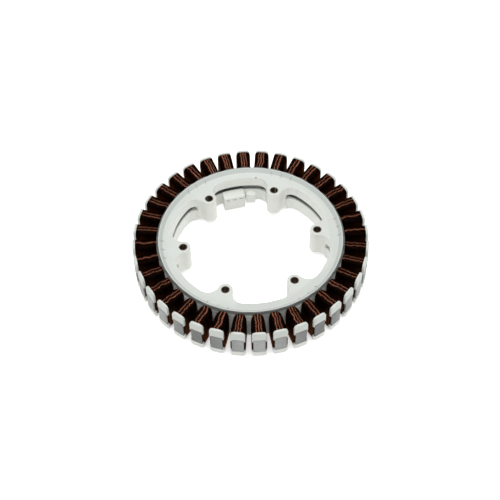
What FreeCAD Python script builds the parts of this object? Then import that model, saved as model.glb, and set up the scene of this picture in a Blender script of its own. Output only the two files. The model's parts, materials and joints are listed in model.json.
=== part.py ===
"""Wound stator of a direct-drive motor with an outer rotor.

A helically wound steel core with 36 outward teeth sits between two moulded
insulators. Each tooth carries a coil. The upper insulator also makes the
mounting face, with six bosses and a steel sleeve in each.

Millimetres. +Z is the motor's axis, up through the mounting face. The origin
lies on the axis, level with the lowest edge of the lower insulator. A mounting
hole lies on +X, and the first tooth half a tooth pitch on from it.
"""

import FreeCAD, Part
import math
import os
import Sketcher
from FreeCAD import Placement, Rotation, Vector

DIMENSIONS = [
    # the counts
    ("tooth_count", 36),
    ("boss_count", 6),
    # steel core
    ("stator_radius", 132.5),
    ("bore_radius", 91.8),
    ("slot_floor_radius", 104),
    ("neck_width", 6),
    ("tip_width", 12.8),
    ("tip_root_radius", 130.2),
    ("tip_edge_radius", 131),
    ("stack_base", 8),
    ("stack_height", 21),
    # pins through the steel ring, flush with its faces
    ("pin_circle_radius", 98),
    ("pin_radius", 1.8),
    ("pin_count", 3),
    # heights shared by the two insulators
    ("joint_height", 18.5),
    ("face_height", 37.5),
    ("cap_top", 41.2),
    # ring walls of the insulators
    ("skirt_radius", 89.8),
    ("upper_skirt_foot", 25.3),
    ("lower_skirt_top", 18),
    ("lower_rim", 1.5),
    ("wall_radius", 105.6),
    ("wall_thickness", 1.3),
    ("face_thickness", 2.5),
    ("web_thickness", 1.6),
    # lip that keeps the coils off the mounting face
    ("ledge_height", 38.3),
    ("lip_height", 41.3),
    ("lip_foot_radius", 98.5),
    ("lip_crest_radius", 102.2),
    ("lip_outer_radius", 103.6),
    ("lip_bulge_radius", 26),
    # moulded bobbin on each tooth
    ("liner_thickness", 0.8),
    ("bobbin_top", 35.1),
    ("bobbin_bottom", 6.8),
    ("cap_width", 15.8),
    ("cap_inner_radius", 129.4),
    ("cap_outer_radius", 132.2),
    ("cap_corner", 4),
    ("upper_ear_length", 2.6),
    ("lower_ear_length", 1.4),
    # mounting bosses
    ("bolt_circle_radius", 76.1),
    ("boss_radius", 8.3),
    ("flank_radius", 12.6),
    ("column_half_width", 12),
    ("column_clearance", 0.2),
    ("column_foot", 6),
    ("sleeve_radius", 4.9),
    ("sleeve_bore_radius", 4.2),
    ("sleeve_slit", 1.2),
    # coils
    ("coil_start", 105.7),
    ("coil_end", 129.3),
    ("coil_top", 40.8),
    ("coil_bottom", 1.3),
    ("coil_start_width", 14.4),
    ("coil_end_width", 17),
    ("coil_corner", 5),
    # phase connector
    ("connector_angle", 95),
    ("connector_width", 25),
    ("connector_face", 77),
    ("connector_base", 1),
    ("connector_height", 19.7),
    ("connector_wall", 1.6),
    ("terminal_line", 80.8),
    ("terminal_width", 4.8),
    ("terminal_thickness", 0.8),
    ("terminal_length", 14),
    # seat for the rotor sensor, moulded on the lower insulator
    ("sensor_seat_angle", 81),
    ("sensor_seat_width", 10.6),
    ("sensor_seat_face", 84),
    ("sensor_seat_height", 13),
    ("sensor_slot_width", 6.4),
    ("sensor_slot_depth", 2.4),
]

doc = FreeCAD.newDocument("wound_stator")
dims = doc.addObject("Spreadsheet::Sheet", "dims")
for row, (alias, size) in enumerate(DIMENSIONS, start=1):
    dims.set(f"A{row}", alias.replace("_", " "))
    dims.set(f"B{row}", str(size))
    dims.setAlias(f"B{row}", alias)
doc.recompute()

# Expressions that several sketches share.
HALF_PITCH = "(180 / dims.tooth_count)"
BOSS_PITCH = "(360 / dims.boss_count)"
PIN_TURN = f"({BOSS_PITCH} / 2)"
STACK_TOP = "(dims.stack_base + dims.stack_height)"
BOBBIN_WIDTH = "(dims.neck_width + 2 * dims.liner_thickness)"
COIL_LENGTH = "(dims.coil_end - dims.coil_start)"
WALL_INSIDE = "(dims.wall_radius - dims.wall_thickness)"


def number(expression):
    """What an expression on the sheet comes to."""
    result = doc.dims.evalExpression(expression.replace("dims.", ""))
    return float(getattr(result, "Value", result))


# ---------------------------------------------------------------- sketches


def new_body(label, turn="0", lift="0"):
    """A body that is turned about the axis and lifted along it."""
    body = doc.addObject("PartDesign::Body", label)
    body.Label = label
    body.Placement = Placement(Vector(0, 0, number(lift)), Rotation(Vector(0, 0, 1), number(turn)))
    body.setExpression("Placement.Rotation.Angle", turn)
    body.setExpression("Placement.Base.z", lift)
    return body


def origin_feature(body, role):
    return next(f for f in body.Origin.OriginFeatures if f.Role == role)


def new_sketch(body, name, plane, offset="0", turn="0"):
    """A sketch on an origin plane, moved along the plane's normal and turned in it."""
    sketch = body.newObject("Sketcher::SketchObject", name)
    sketch.AttachmentSupport = [(origin_feature(body, plane), "")]
    sketch.MapMode = "FlatFace"
    spin = Rotation(Vector(0, 0, 1), number(turn))
    sketch.AttachmentOffset = Placement(Vector(0, 0, number(offset)), spin)
    sketch.setExpression("AttachmentOffset.Base.z", offset)
    sketch.setExpression("AttachmentOffset.Rotation.Angle", turn)
    return sketch


def bind(sketch, constraint, expression):
    """Adds a dimension whose value is an expression."""
    index = sketch.addConstraint(constraint)
    sketch.setExpression(f"Constraints[{index}]", expression)


def arc_between(start, end, radius, hollow):
    """The short arc from start to end, as the counter-clockwise arc that a sketch holds."""
    if hollow:
        start, end = end, start
    middle = (start + end) / 2
    along = end - start
    reach = math.sqrt(radius**2 - (along.Length / 2) ** 2)
    centre = middle + Vector(-along.y, along.x, 0).normalize() * reach
    circle = Part.Circle(centre, Vector(0, 0, 1), radius)
    return Part.ArcOfCircle(circle, circle.parameter(start), circle.parameter(end))


def draw_outline(sketch, corners, bulges=None, hollows=None):
    """Draws a closed outline, counter-clockwise, through corners given as expressions.

    The side that leaves a corner is straight, unless bulges or hollows gives its radius.
    """
    bulges = bulges or {}
    hollows = hollows or {}
    points = [Vector(number(x), number(y), 0) for x, y in corners]
    count = len(points)
    first = sketch.GeometryCount
    for i, point in enumerate(points):
        following = points[(i + 1) % count]
        if i in bulges or i in hollows:
            radius = number(bulges.get(i) or hollows.get(i))
            sketch.addGeometry(arc_between(point, following, radius, i in hollows))
        else:
            sketch.addGeometry(Part.LineSegment(point, following))
    for i, (x, y) in enumerate(corners):
        leaves = 2 if i in hollows else 1
        previous = (i - 1) % count
        arrives = 1 if previous in hollows else 2
        joint = Sketcher.Constraint("Coincident", first + previous, arrives, first + i, leaves)
        sketch.addConstraint(joint)
        across = Sketcher.Constraint("DistanceX", -1, 1, first + i, leaves, points[i].x)
        bind(sketch, across, x)
        upward = Sketcher.Constraint("DistanceY", -1, 1, first + i, leaves, points[i].y)
        bind(sketch, upward, y)
    for i, radius in {**bulges, **hollows}.items():
        bind(sketch, Sketcher.Constraint("Radius", first + i, number(radius)), radius)


def draw_rectangle(sketch, left, bottom, right, top):
    draw_outline(sketch, [(left, bottom), (right, bottom), (right, top), (left, top)])


def draw_circle(sketch, x, radius):
    """A circle centred on the sketch's own X axis."""
    circle = Part.Circle(Vector(number(x), 0, 0), Vector(0, 0, 1), number(radius))
    index = sketch.addGeometry(circle)
    bind(sketch, Sketcher.Constraint("DistanceX", -1, 1, index, 3, number(x)), x)
    bind(sketch, Sketcher.Constraint("DistanceY", -1, 1, index, 3, 0), "0")
    bind(sketch, Sketcher.Constraint("Radius", index, number(radius)), radius)


# ---------------------------------------------------------------- features


def pad(body, sketch, length):
    feature = body.newObject("PartDesign::Pad", f"{sketch.Name}_pad")
    feature.Profile = sketch
    feature.setExpression("Length", length)
    return feature


def pocket(body, sketch, length, upward=True):
    """Cuts along the sketch's normal, or against it."""
    feature = body.newObject("PartDesign::Pocket", f"{sketch.Name}_pocket")
    feature.Profile = sketch
    feature.setExpression("Length", length)
    feature.Reversed = upward
    return feature


def revolve(body, sketch):
    feature = body.newObject("PartDesign::Revolution", f"{sketch.Name}_turned")
    feature.Profile = sketch
    feature.ReferenceAxis = (sketch, ["V_Axis"])
    feature.Angle = 360
    return feature


def repeat(body, name, features, count):
    """Repeats features round the axis and makes the result the body's tip."""
    pattern = body.newObject("PartDesign::PolarPattern", name)
    pattern.Originals = features
    pattern.Axis = (origin_feature(body, "Z_Axis"), [""])
    pattern.Angle = 360
    pattern.setExpression("Occurrences", count)
    body.Tip = pattern
    return pattern


# ---------------------------------------------------------------- steel core


def tooth_outline(reach):
    """Half of a steel tooth's outline, from the neck's root outwards: distance out, distance aside."""
    neck = "dims.neck_width / 2"
    tip = "dims.tip_width / 2"
    return [
        ("dims.tip_root_radius", neck),
        ("dims.tip_edge_radius", tip),
        (reach, tip),
    ]


def beside_slot(out, aside):
    """A point beside the next tooth's centre line, in a sketch whose X axis is the slot's."""
    x = f"({out}) * cos{HALF_PITCH} + ({aside}) * sin{HALF_PITCH}"
    y = f"({out}) * sin{HALF_PITCH} - ({aside}) * cos{HALF_PITCH}"
    return x, y


def build_core():
    """The strip's turns, stamped with slots and wound into one ring."""
    core = new_body("stator_core", lift="dims.stack_base")
    ring = new_sketch(core, "core_ring", "XY_Plane")
    draw_circle(ring, "0", "dims.stator_radius")
    draw_circle(ring, "0", "dims.bore_radius")
    pad(core, ring, "dims.stack_height")

    slot = new_sketch(core, "core_slot", "XY_Plane")
    floor_half = f"dims.slot_floor_radius * tan{HALF_PITCH} - dims.neck_width / 2 / cos{HALF_PITCH}"
    side = [("dims.slot_floor_radius", floor_half)]
    side += [beside_slot(out, aside) for out, aside in tooth_outline("dims.stator_radius + 2")]
    mirrored = [(x, f"-({y})") for x, y in side]
    draw_outline(slot, mirrored + side[::-1])
    slots = pocket(core, slot, "dims.stack_height")
    repeat(core, "core_slots", [slots], "dims.tooth_count")

    hole = new_sketch(core, "pin_hole", "XY_Plane", turn=PIN_TURN)
    draw_circle(hole, "dims.pin_circle_radius", "dims.pin_radius")
    holes = pocket(core, hole, "dims.stack_height")
    repeat(core, "pin_holes", [holes], "dims.pin_count")
    return core


def build_pins():
    """Steel pins that hold the turns in line."""
    pins = new_body("core_pins", turn=PIN_TURN, lift="dims.stack_base")
    shank = new_sketch(pins, "pin_shank", "XY_Plane")
    draw_circle(shank, "dims.pin_circle_radius", "dims.pin_radius")
    shanks = pad(pins, shank, "dims.stack_height")
    repeat(pins, "pin_ring", [shanks], "dims.pin_count")
    return pins


# ---------------------------------------------------------------- bosses' outline

BOSS = "dims.bolt_circle_radius"
FLANK_REACH = "(dims.skirt_radius - dims.flank_radius)"
FLANK_SPAN = "(dims.boss_radius + dims.flank_radius)"
LOBE_ANGLE = f"acos(({BOSS}^2 + {FLANK_REACH}^2 - {FLANK_SPAN}^2) / (2 * {BOSS} * {FLANK_REACH}))"
FLANK_X = f"{FLANK_REACH} * cos({LOBE_ANGLE})"
FLANK_Y = f"{FLANK_REACH} * sin({LOBE_ANGLE})"
# where the boss's round head meets its hollow flank
HEAD_X = f"({BOSS} + ({FLANK_X} - {BOSS}) * dims.boss_radius / {FLANK_SPAN})"
HEAD_Y = f"({FLANK_Y} * dims.boss_radius / {FLANK_SPAN})"


def on_lobe_end(radius):
    """Where the flank runs out into the ring, at a radius."""
    return f"{radius} * cos({LOBE_ANGLE})", f"{radius} * sin({LOBE_ANGLE})"


def on_bore(half_width):
    return f"sqrt(dims.bore_radius^2 - ({half_width})^2)", half_width


def on_flank(half_width):
    rise = f"(({half_width}) - {FLANK_Y})"
    return f"{FLANK_X} + sqrt(dims.flank_radius^2 - {rise}^2)", half_width


def mirror(point):
    x, y = point
    return x, f"-({y})"


def draw_boss(sketch, outer, inner):
    """A boss from the steel's bore to its round head; outer and inner are its flank's two ends."""
    head = (HEAD_X, HEAD_Y)
    corners = [mirror(outer), outer, inner, head, mirror(head), mirror(inner)]
    rounds = {0: "dims.bore_radius", 3: "dims.boss_radius"}
    flanks = {2: "dims.flank_radius", 4: "dims.flank_radius"}
    draw_outline(sketch, corners, bulges=rounds, hollows=flanks)


# ---------------------------------------------------------------- insulators


def draw_cover(sketch):
    """Plan of the plastic round a tooth's neck."""
    wall = "dims.wall_radius - dims.liner_thickness"
    half = f"{BOBBIN_WIDTH} / 2"
    draw_rectangle(sketch, wall, f"-{half}", "dims.cap_inner_radius", half)


def draw_tooth_room(sketch):
    """Plan of the room that an insulator leaves for a steel tooth."""
    neck = "dims.neck_width / 2"
    tip = "dims.tip_width / 2"
    beyond = "dims.stator_radius + 2"
    side = [("dims.slot_floor_radius - 2", neck), ("dims.cap_inner_radius", neck)]
    side += [("dims.cap_inner_radius", tip), (beyond, tip)]
    draw_outline(sketch, [mirror(point) for point in side] + side[::-1])


def draw_cap(sketch, ears_edge, far_edge):
    """Front of an end cap, from the ends of its ears to its far edge with two broken corners."""
    half = "dims.cap_width / 2"
    way = 1 if number(far_edge) > number(ears_edge) else -1
    corner = "dims.cap_corner"
    side = [(half, ears_edge)]
    for angle in (0, 45, 90):
        across = f"{half} - {corner} * (1 - cos({angle}))"
        along = f"{far_edge} - {way} * {corner} * (1 - sin({angle}))"
        side.append((across, along))
    other = [(f"-({across})", along) for across, along in side]
    corners = side + other[::-1]
    draw_outline(sketch, corners if way == 1 else corners[::-1])


def build_upper_insulator():
    """Mounting face, lip, bosses and the upper half of each tooth's bobbin, in one moulding."""
    body = new_body("upper_insulator", turn=HALF_PITCH)

    ring = new_sketch(body, "upper_ring", "XZ_Plane")
    face_under = "dims.face_height - dims.face_thickness"
    draw_outline(
        ring,
        [
            ("dims.skirt_radius", "dims.upper_skirt_foot"),
            ("dims.bore_radius", "dims.upper_skirt_foot"),
            ("dims.bore_radius", face_under),
            (WALL_INSIDE, face_under),
            (WALL_INSIDE, "dims.joint_height"),
            ("dims.wall_radius", "dims.joint_height"),
            ("dims.wall_radius", "dims.ledge_height"),
            ("dims.lip_outer_radius", "dims.ledge_height"),
            ("dims.lip_outer_radius", "dims.lip_height"),
            ("dims.lip_crest_radius", "dims.lip_height"),
            ("dims.lip_foot_radius", "dims.face_height"),
            ("dims.skirt_radius", "dims.face_height"),
        ],
    )
    revolve(body, ring)

    bulge = new_sketch(body, "lip_bulge", "XY_Plane", "dims.ledge_height")
    cusp_x = f"dims.lip_outer_radius * cos{HALF_PITCH}"
    cusp_y = f"dims.lip_outer_radius * sin{HALF_PITCH}"
    root = "dims.lip_crest_radius"
    corners = [(root, f"-{cusp_y}"), (cusp_x, f"-{cusp_y}"), (cusp_x, cusp_y), (root, cusp_y)]
    draw_outline(bulge, corners, bulges={1: "dims.lip_bulge_radius"})
    bulges = pad(body, bulge, "dims.lip_height - dims.ledge_height")

    cover = new_sketch(body, "upper_cover", "XY_Plane", "dims.joint_height")
    draw_cover(cover)
    covers = pad(body, cover, "dims.bobbin_top - dims.joint_height")

    cap = new_sketch(body, "upper_cap", "YZ_Plane", "dims.cap_inner_radius")
    draw_cap(cap, f"{STACK_TOP} - dims.upper_ear_length", "dims.cap_top")
    caps = pad(body, cap, "dims.cap_outer_radius - dims.cap_inner_radius")

    tooth = new_sketch(body, "upper_tooth_room", "XY_Plane", "dims.joint_height")
    draw_tooth_room(tooth)
    rooms = pocket(body, tooth, f"{STACK_TOP} - dims.joint_height")
    repeat(body, "upper_bobbins", [bulges, covers, caps, rooms], "dims.tooth_count")

    back_turn = f"-{HALF_PITCH}"
    lobe = new_sketch(body, "boss_lobe", "XY_Plane", "dims.upper_skirt_foot", back_turn)
    draw_boss(lobe, on_lobe_end("dims.bore_radius"), on_lobe_end("dims.skirt_radius"))
    lobes = pad(body, lobe, "dims.face_height - dims.upper_skirt_foot")

    column = new_sketch(body, "boss_column", "XY_Plane", "dims.column_foot", back_turn)
    draw_boss(column, on_bore("dims.column_half_width"), on_flank("dims.column_half_width"))
    columns = pad(body, column, "dims.upper_skirt_foot - dims.column_foot")

    hole = new_sketch(body, "sleeve_hole", "XY_Plane", "dims.column_foot", back_turn)
    draw_circle(hole, BOSS, "dims.sleeve_radius")
    holes = pocket(body, hole, "dims.face_height - dims.column_foot")
    repeat(body, "bosses", [lobes, columns, holes], "dims.boss_count")
    return body


def build_lower_insulator():
    """Channel for the crossover wires and the lower half of each bobbin, in one moulding."""
    body = new_body("lower_insulator", turn=HALF_PITCH)

    ring = new_sketch(body, "lower_ring", "XZ_Plane")
    web_under = "dims.stack_base - dims.web_thickness"
    draw_outline(
        ring,
        [
            ("dims.skirt_radius", "dims.lower_rim"),
            ("dims.bore_radius", "dims.lower_rim"),
            ("dims.bore_radius", web_under),
            (WALL_INSIDE, web_under),
            (WALL_INSIDE, "dims.lower_rim"),
            ("dims.wall_radius", "dims.lower_rim"),
            ("dims.wall_radius", "dims.joint_height"),
            (WALL_INSIDE, "dims.joint_height"),
            (WALL_INSIDE, "dims.stack_base"),
            ("dims.bore_radius", "dims.stack_base"),
            ("dims.bore_radius", "dims.lower_skirt_top"),
            ("dims.skirt_radius", "dims.lower_skirt_top"),
        ],
    )
    revolve(body, ring)

    cover = new_sketch(body, "lower_cover", "XY_Plane", "dims.bobbin_bottom")
    draw_cover(cover)
    covers = pad(body, cover, "dims.joint_height - dims.bobbin_bottom")

    cap = new_sketch(body, "lower_cap", "YZ_Plane", "dims.cap_inner_radius")
    draw_cap(cap, "dims.stack_base + dims.lower_ear_length", "0")
    caps = pad(body, cap, "dims.cap_outer_radius - dims.cap_inner_radius")

    tooth = new_sketch(body, "lower_tooth_room", "XY_Plane", "dims.stack_base")
    draw_tooth_room(tooth)
    rooms = pocket(body, tooth, "dims.joint_height - dims.stack_base")
    repeat(body, "lower_bobbins", [covers, caps, rooms], "dims.tooth_count")

    back_turn = f"-{HALF_PITCH}"
    half_gap = "(dims.column_half_width + dims.column_clearance)"
    flank = new_sketch(body, "lower_flanks", "XY_Plane", "dims.lower_rim", back_turn)
    near = on_bore(half_gap)
    far = on_lobe_end("dims.bore_radius")
    end = on_lobe_end("dims.skirt_radius")
    start = on_flank(half_gap)
    draw_outline(flank, [near, far, end, start], {0: "dims.bore_radius"}, {2: "dims.flank_radius"})
    corners = [mirror(point) for point in (start, end, far, near)]
    draw_outline(flank, corners, {2: "dims.bore_radius"}, {0: "dims.flank_radius"})
    flanks = pad(body, flank, "dims.lower_skirt_top - dims.lower_rim")

    gap = new_sketch(body, "column_gap", "XY_Plane", "dims.lower_rim", back_turn)
    outer = on_bore(half_gap)
    inner = ("dims.skirt_radius - dims.flank_radius", half_gap)
    draw_outline(gap, [mirror(outer), outer, inner, mirror(inner)], {0: "dims.bore_radius"})
    gaps = pocket(body, gap, "dims.lower_skirt_top - dims.lower_rim")

    repeat(body, "boss_gaps", [flanks, gaps], "dims.boss_count")

    add_sensor_seat(body)
    return body


def add_sensor_seat(body):
    """Block with an open slot, where a rotor sensor's connector clips on."""
    turn = f"dims.sensor_seat_angle - {HALF_PITCH}"
    half = "dims.sensor_seat_width / 2"
    seat = new_sketch(body, "sensor_seat", "XY_Plane", "dims.lower_rim", turn)
    back = "dims.skirt_radius + 0.2"
    draw_rectangle(seat, "dims.sensor_seat_face", f"-{half}", back, half)
    pad(body, seat, "dims.sensor_seat_height")
    slot_half = "dims.sensor_slot_width / 2"
    slot = new_sketch(body, "sensor_slot", "XY_Plane", "dims.lower_rim", turn)
    slot_start = "dims.sensor_seat_face + dims.connector_wall"
    slot_end = f"{slot_start} + dims.sensor_slot_depth"
    draw_rectangle(slot, slot_start, f"-{slot_half}", slot_end, slot_half)
    body.Tip = pocket(body, slot, "dims.sensor_seat_height - dims.connector_wall")


# ---------------------------------------------------------------- coils


def draw_coil_section(sketch):
    """A winding's outline round its tooth; the layers step back at each corner."""
    corner = "dims.coil_corner"
    right = f"(dims.coil_end_width / 2 - {corner})"
    top = f"(dims.coil_top - {corner})"
    bottom = f"(dims.coil_bottom + {corner})"
    middles = [(right, top), (f"-{right}", top), (f"-{right}", bottom), (right, bottom)]
    corners = []
    for quarter, (middle_x, middle_y) in enumerate(middles):
        for step in range(4):
            angle = 90 * quarter + 30 * step
            x = f"{middle_x} + {corner} * cos({angle})"
            y = f"{middle_y} + {corner} * sin({angle})"
            corners.append((x, y))
    draw_outline(sketch, corners)


def draw_coil_taper(sketch):
    """Plan of what the narrow end of the slot leaves no room for, on both sides of a coil."""
    start = "dims.coil_start - 1"
    narrow = "dims.coil_start_width / 2"
    wide = "dims.coil_end_width / 2"
    clear = f"({wide} + 1)"
    side = [(start, narrow), ("dims.coil_start", narrow), ("dims.coil_end", wide)]
    side += [("dims.coil_end", clear), (start, clear)]
    draw_outline(sketch, side)
    draw_outline(sketch, [mirror(point) for point in side[::-1]])


def build_coil(number_of_tooth):
    """One tooth's winding: it widens outwards with the slot."""
    turn = f"{HALF_PITCH} * {2 * number_of_tooth - 1}"
    coil = new_body(f"coil_{number_of_tooth:02d}", turn=turn)
    section = new_sketch(coil, f"coil_section_{number_of_tooth}", "YZ_Plane", "dims.coil_start")
    draw_coil_section(section)
    pad(coil, section, COIL_LENGTH)
    taper = new_sketch(coil, f"coil_taper_{number_of_tooth}", "XY_Plane")
    draw_coil_taper(taper)
    pocket(coil, taper, "dims.coil_top")
    window = new_sketch(coil, f"coil_window_{number_of_tooth}", "YZ_Plane", "dims.coil_start")
    half = f"{BOBBIN_WIDTH} / 2"
    draw_rectangle(window, f"-{half}", "dims.bobbin_bottom", half, "dims.bobbin_top")
    coil.Tip = pocket(coil, window, COIL_LENGTH)
    return coil


# ---------------------------------------------------------------- sleeves and connector


def build_sleeves():
    """Rolled steel sleeves with an open slit, pressed into the bosses."""
    sleeves = new_body("mount_sleeves")
    wall = new_sketch(sleeves, "sleeve_wall", "XY_Plane", "dims.column_foot")
    draw_circle(wall, BOSS, "dims.sleeve_radius")
    draw_circle(wall, BOSS, "dims.sleeve_bore_radius")
    walls = pad(sleeves, wall, "dims.face_height - dims.column_foot")
    slit = new_sketch(sleeves, "sleeve_slit", "XY_Plane", "dims.column_foot")
    half = "dims.sleeve_slit / 2"
    slit_end = f"{BOSS} + dims.sleeve_radius + 1"
    draw_rectangle(slit, BOSS, f"-{half}", slit_end, half)
    slits = pocket(sleeves, slit, "dims.face_height - dims.column_foot")
    repeat(sleeves, "sleeve_ring", [walls, slits], "dims.boss_count")
    return sleeves


TERMINAL_PITCH = "((dims.connector_width - dims.connector_wall) / 3)"


def build_connector():
    """Housing of the three phase terminals, open underneath."""
    housing = new_body("phase_connector", turn="dims.connector_angle")
    block = new_sketch(housing, "connector_block", "XY_Plane", "dims.connector_base")
    half = "dims.connector_width / 2"
    back = f"sqrt(dims.skirt_radius^2 - ({half})^2)"
    corners = [("dims.connector_face", f"-{half}"), (back, f"-{half}")]
    corners += [(back, half), ("dims.connector_face", half)]
    draw_outline(block, corners, {1: "dims.skirt_radius"})
    pad(housing, block, "dims.connector_height")

    cell_depth = "dims.connector_height - dims.connector_wall"
    cells = new_sketch(housing, "connector_cells", "XY_Plane", "dims.connector_base")
    cell_half = f"({TERMINAL_PITCH} - dims.connector_wall) / 2"
    for place in (-1, 0, 1):
        middle = f"{place} * {TERMINAL_PITCH}"
        near = "dims.connector_face + dims.connector_wall"
        far = f"{back} - dims.connector_wall"
        draw_rectangle(cells, near, f"{middle} - {cell_half}", far, f"{middle} + {cell_half}")
    pocket(housing, cells, cell_depth)

    groove = new_sketch(housing, "connector_windows", "YZ_Plane", "dims.connector_face")
    top = "dims.connector_base + dims.connector_height - 3.4"
    for place in (-1, 0, 1):
        middle = f"{place} * {TERMINAL_PITCH}"
        draw_rectangle(groove, f"{middle} - 2", f"{top} - 1.4", f"{middle} + 2", top)
    housing.Tip = pocket(housing, groove, "dims.connector_wall + 0.5")
    return housing


def build_terminals():
    """Flat blades, one for each phase, that stand in the housing's cells."""
    blades = new_body("phase_terminals", turn="dims.connector_angle")
    roof = "dims.connector_base + dims.connector_height - dims.connector_wall"
    blade = new_sketch(blades, "terminal_blades", "XY_Plane", f"{roof} - dims.terminal_length")
    for place in (-1, 0, 1):
        middle = f"{place} * {TERMINAL_PITCH}"
        left = "dims.terminal_line - dims.terminal_thickness / 2"
        right = "dims.terminal_line + dims.terminal_thickness / 2"
        low = f"{middle} - dims.terminal_width / 2"
        high = f"{middle} + dims.terminal_width / 2"
        draw_rectangle(blade, left, low, right, high)
    blades.Tip = pad(blades, blade, "dims.terminal_length")
    return blades


# ---------------------------------------------------------------- the whole stator

sub_parts = [
    build_core(),
    build_pins(),
    build_upper_insulator(),
    build_lower_insulator(),
    build_sleeves(),
    build_connector(),
    build_terminals(),
]
for tooth in range(1, int(number("dims.tooth_count")) + 1):
    sub_parts.append(build_coil(tooth))
doc.recompute()

for item in doc.Objects:
    if "Invalid" in item.State or "Error" in item.State:
        raise RuntimeError(f"{item.Label} did not build: {item.State}")
for sub_part in sub_parts:
    if sub_part.Shape.isNull() or not sub_part.Shape.isValid():
        raise RuntimeError(f"{sub_part.Label} has no valid shape")

os.makedirs("parts", exist_ok=True)
for sub_part in sub_parts:
    sub_part.Shape.exportStep(f"parts/{sub_part.Label}.step")
    print(sub_part.Label, len(sub_part.Shape.Solids), "solids", round(sub_part.Shape.Volume), "mm3")
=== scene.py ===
# %% [markdown]
# # The wound stator of a direct-drive motor
# The CAD parts give every place and every main form. This script dresses them:
# it rounds the moulded edges, winds the coils wire by wire and gives each
# surface a finish of its own. All lengths are in metres.

import json
import math

import bmesh
import bpy
from mathutils import Matrix, Vector, noise


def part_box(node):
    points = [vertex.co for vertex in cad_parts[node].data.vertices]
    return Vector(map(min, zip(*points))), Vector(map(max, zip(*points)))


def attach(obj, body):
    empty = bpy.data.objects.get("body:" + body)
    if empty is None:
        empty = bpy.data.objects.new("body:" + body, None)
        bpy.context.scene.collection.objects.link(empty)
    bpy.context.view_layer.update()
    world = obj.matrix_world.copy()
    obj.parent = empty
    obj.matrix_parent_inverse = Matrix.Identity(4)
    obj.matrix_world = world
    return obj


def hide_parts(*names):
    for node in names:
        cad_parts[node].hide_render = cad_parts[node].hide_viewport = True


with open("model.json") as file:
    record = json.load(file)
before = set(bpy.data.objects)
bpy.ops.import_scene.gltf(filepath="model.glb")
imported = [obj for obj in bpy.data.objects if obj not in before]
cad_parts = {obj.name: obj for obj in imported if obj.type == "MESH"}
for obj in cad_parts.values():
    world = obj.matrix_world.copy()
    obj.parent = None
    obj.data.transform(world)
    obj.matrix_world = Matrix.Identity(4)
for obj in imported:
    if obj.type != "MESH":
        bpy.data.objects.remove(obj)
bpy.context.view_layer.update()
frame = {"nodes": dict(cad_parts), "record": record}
MM = 0.001
print("CAD nodes:", len(frame["nodes"]))

# %% [markdown]
# ## Places taken from the CAD parts
# A node's box says where it is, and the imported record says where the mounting
# holes are, so these places are read and not typed. Distances from the axis
# that no box gives are typed where they are first needed. The first tooth
# stands half a tooth pitch on from the X axis, and a mounting hole lies on it.

# %% Read the places
coil_names = sorted(name for name in frame["nodes"] if name.startswith("coil_"))
TOOTH_PITCH = math.tau / len(coil_names)
STEEL_BASE, STEEL_TOP = (corner[2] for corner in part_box("stator_core"))
COIL_FOOT, COIL_CROWN = (corner[2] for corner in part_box("coil_01"))
mounts = {mount["name"]: mount for mount in frame["record"]["mounts"]}
FACE_HEIGHT = mounts["mounting_holes"]["pos_m"][2]
HOLE_COUNT = mounts["mounting_holes"]["dims"]["count"]
print("coils", len(coil_names), "steel from", STEEL_BASE, "to", STEEL_TOP, "face at", FACE_HEIGHT)

# %% [markdown]
# ## Shared effects
# Several finishes need the same three effects: a colour that drifts a little
# over the surface, a roughness that does the same, and a fine grain to bump.
# They could be built anew in every material, but then a change has to be made
# in every one of them. So each is a shader node group with named inputs, built
# once. The constants that don't change over a surface stay on the shader itself.


# %% Helpers that add nodes
def feed(tree, value, socket):
    """Links a value that comes from another node, or sets a constant."""
    if isinstance(value, bpy.types.NodeSocket):
        tree.links.new(value, socket)
    else:
        socket.default_value = value


def add_node(tree, kind, **values):
    """Adds a shader node; a value goes to its socket of that name, or else to its property."""
    node = tree.nodes.new(kind)
    for name, value in values.items():
        socket = node.inputs.get(name.replace("_", " "))
        if socket is None:
            setattr(node, name, value)
        else:
            feed(tree, value, socket)
    return node


def add_maths(tree, kind, operation, *values):
    """Adds a maths node and feeds its inputs in order."""
    node = add_node(tree, kind, operation=operation)
    for socket, value in zip(node.inputs, values):
        feed(tree, value, socket)
    return node


def calculate(tree, operation, *values):
    """The result of one sum on numbers."""
    return add_maths(tree, "ShaderNodeMath", operation, *values).outputs["Value"]


def map_range(tree, value, **spans):
    """A value carried from one span to another."""
    return add_node(tree, "ShaderNodeMapRange", Value=value, **spans).outputs["Result"]


def noise_at(tree, where, size, **values):
    """A soft noise between 0 and 1."""
    return add_node(tree, "ShaderNodeTexNoise", Vector=where, Scale=size, **values).outputs["Fac"]


def mix_colours(tree, share, first, second, blend_type="MIX"):
    """Two colours blended, or the first multiplied by the second."""
    node = add_node(tree, "ShaderNodeMix", data_type="RGBA", blend_type=blend_type, Factor=share)
    feed(tree, first, node.inputs[6])
    feed(tree, second, node.inputs[7])
    return node.outputs[2]


def new_group(name, inputs, outputs):
    """A node group with named sockets, and its two end nodes."""
    tree = bpy.data.node_groups.new(name, "ShaderNodeTree")
    for socket, kind in inputs:
        tree.interface.new_socket(socket, in_out="INPUT", socket_type=f"NodeSocket{kind}")
    for socket, kind in outputs:
        tree.interface.new_socket(socket, in_out="OUTPUT", socket_type=f"NodeSocket{kind}")
    return tree, tree.nodes.new("NodeGroupInput").outputs, tree.nodes.new("NodeGroupOutput").inputs


print("node helpers ready")

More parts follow.
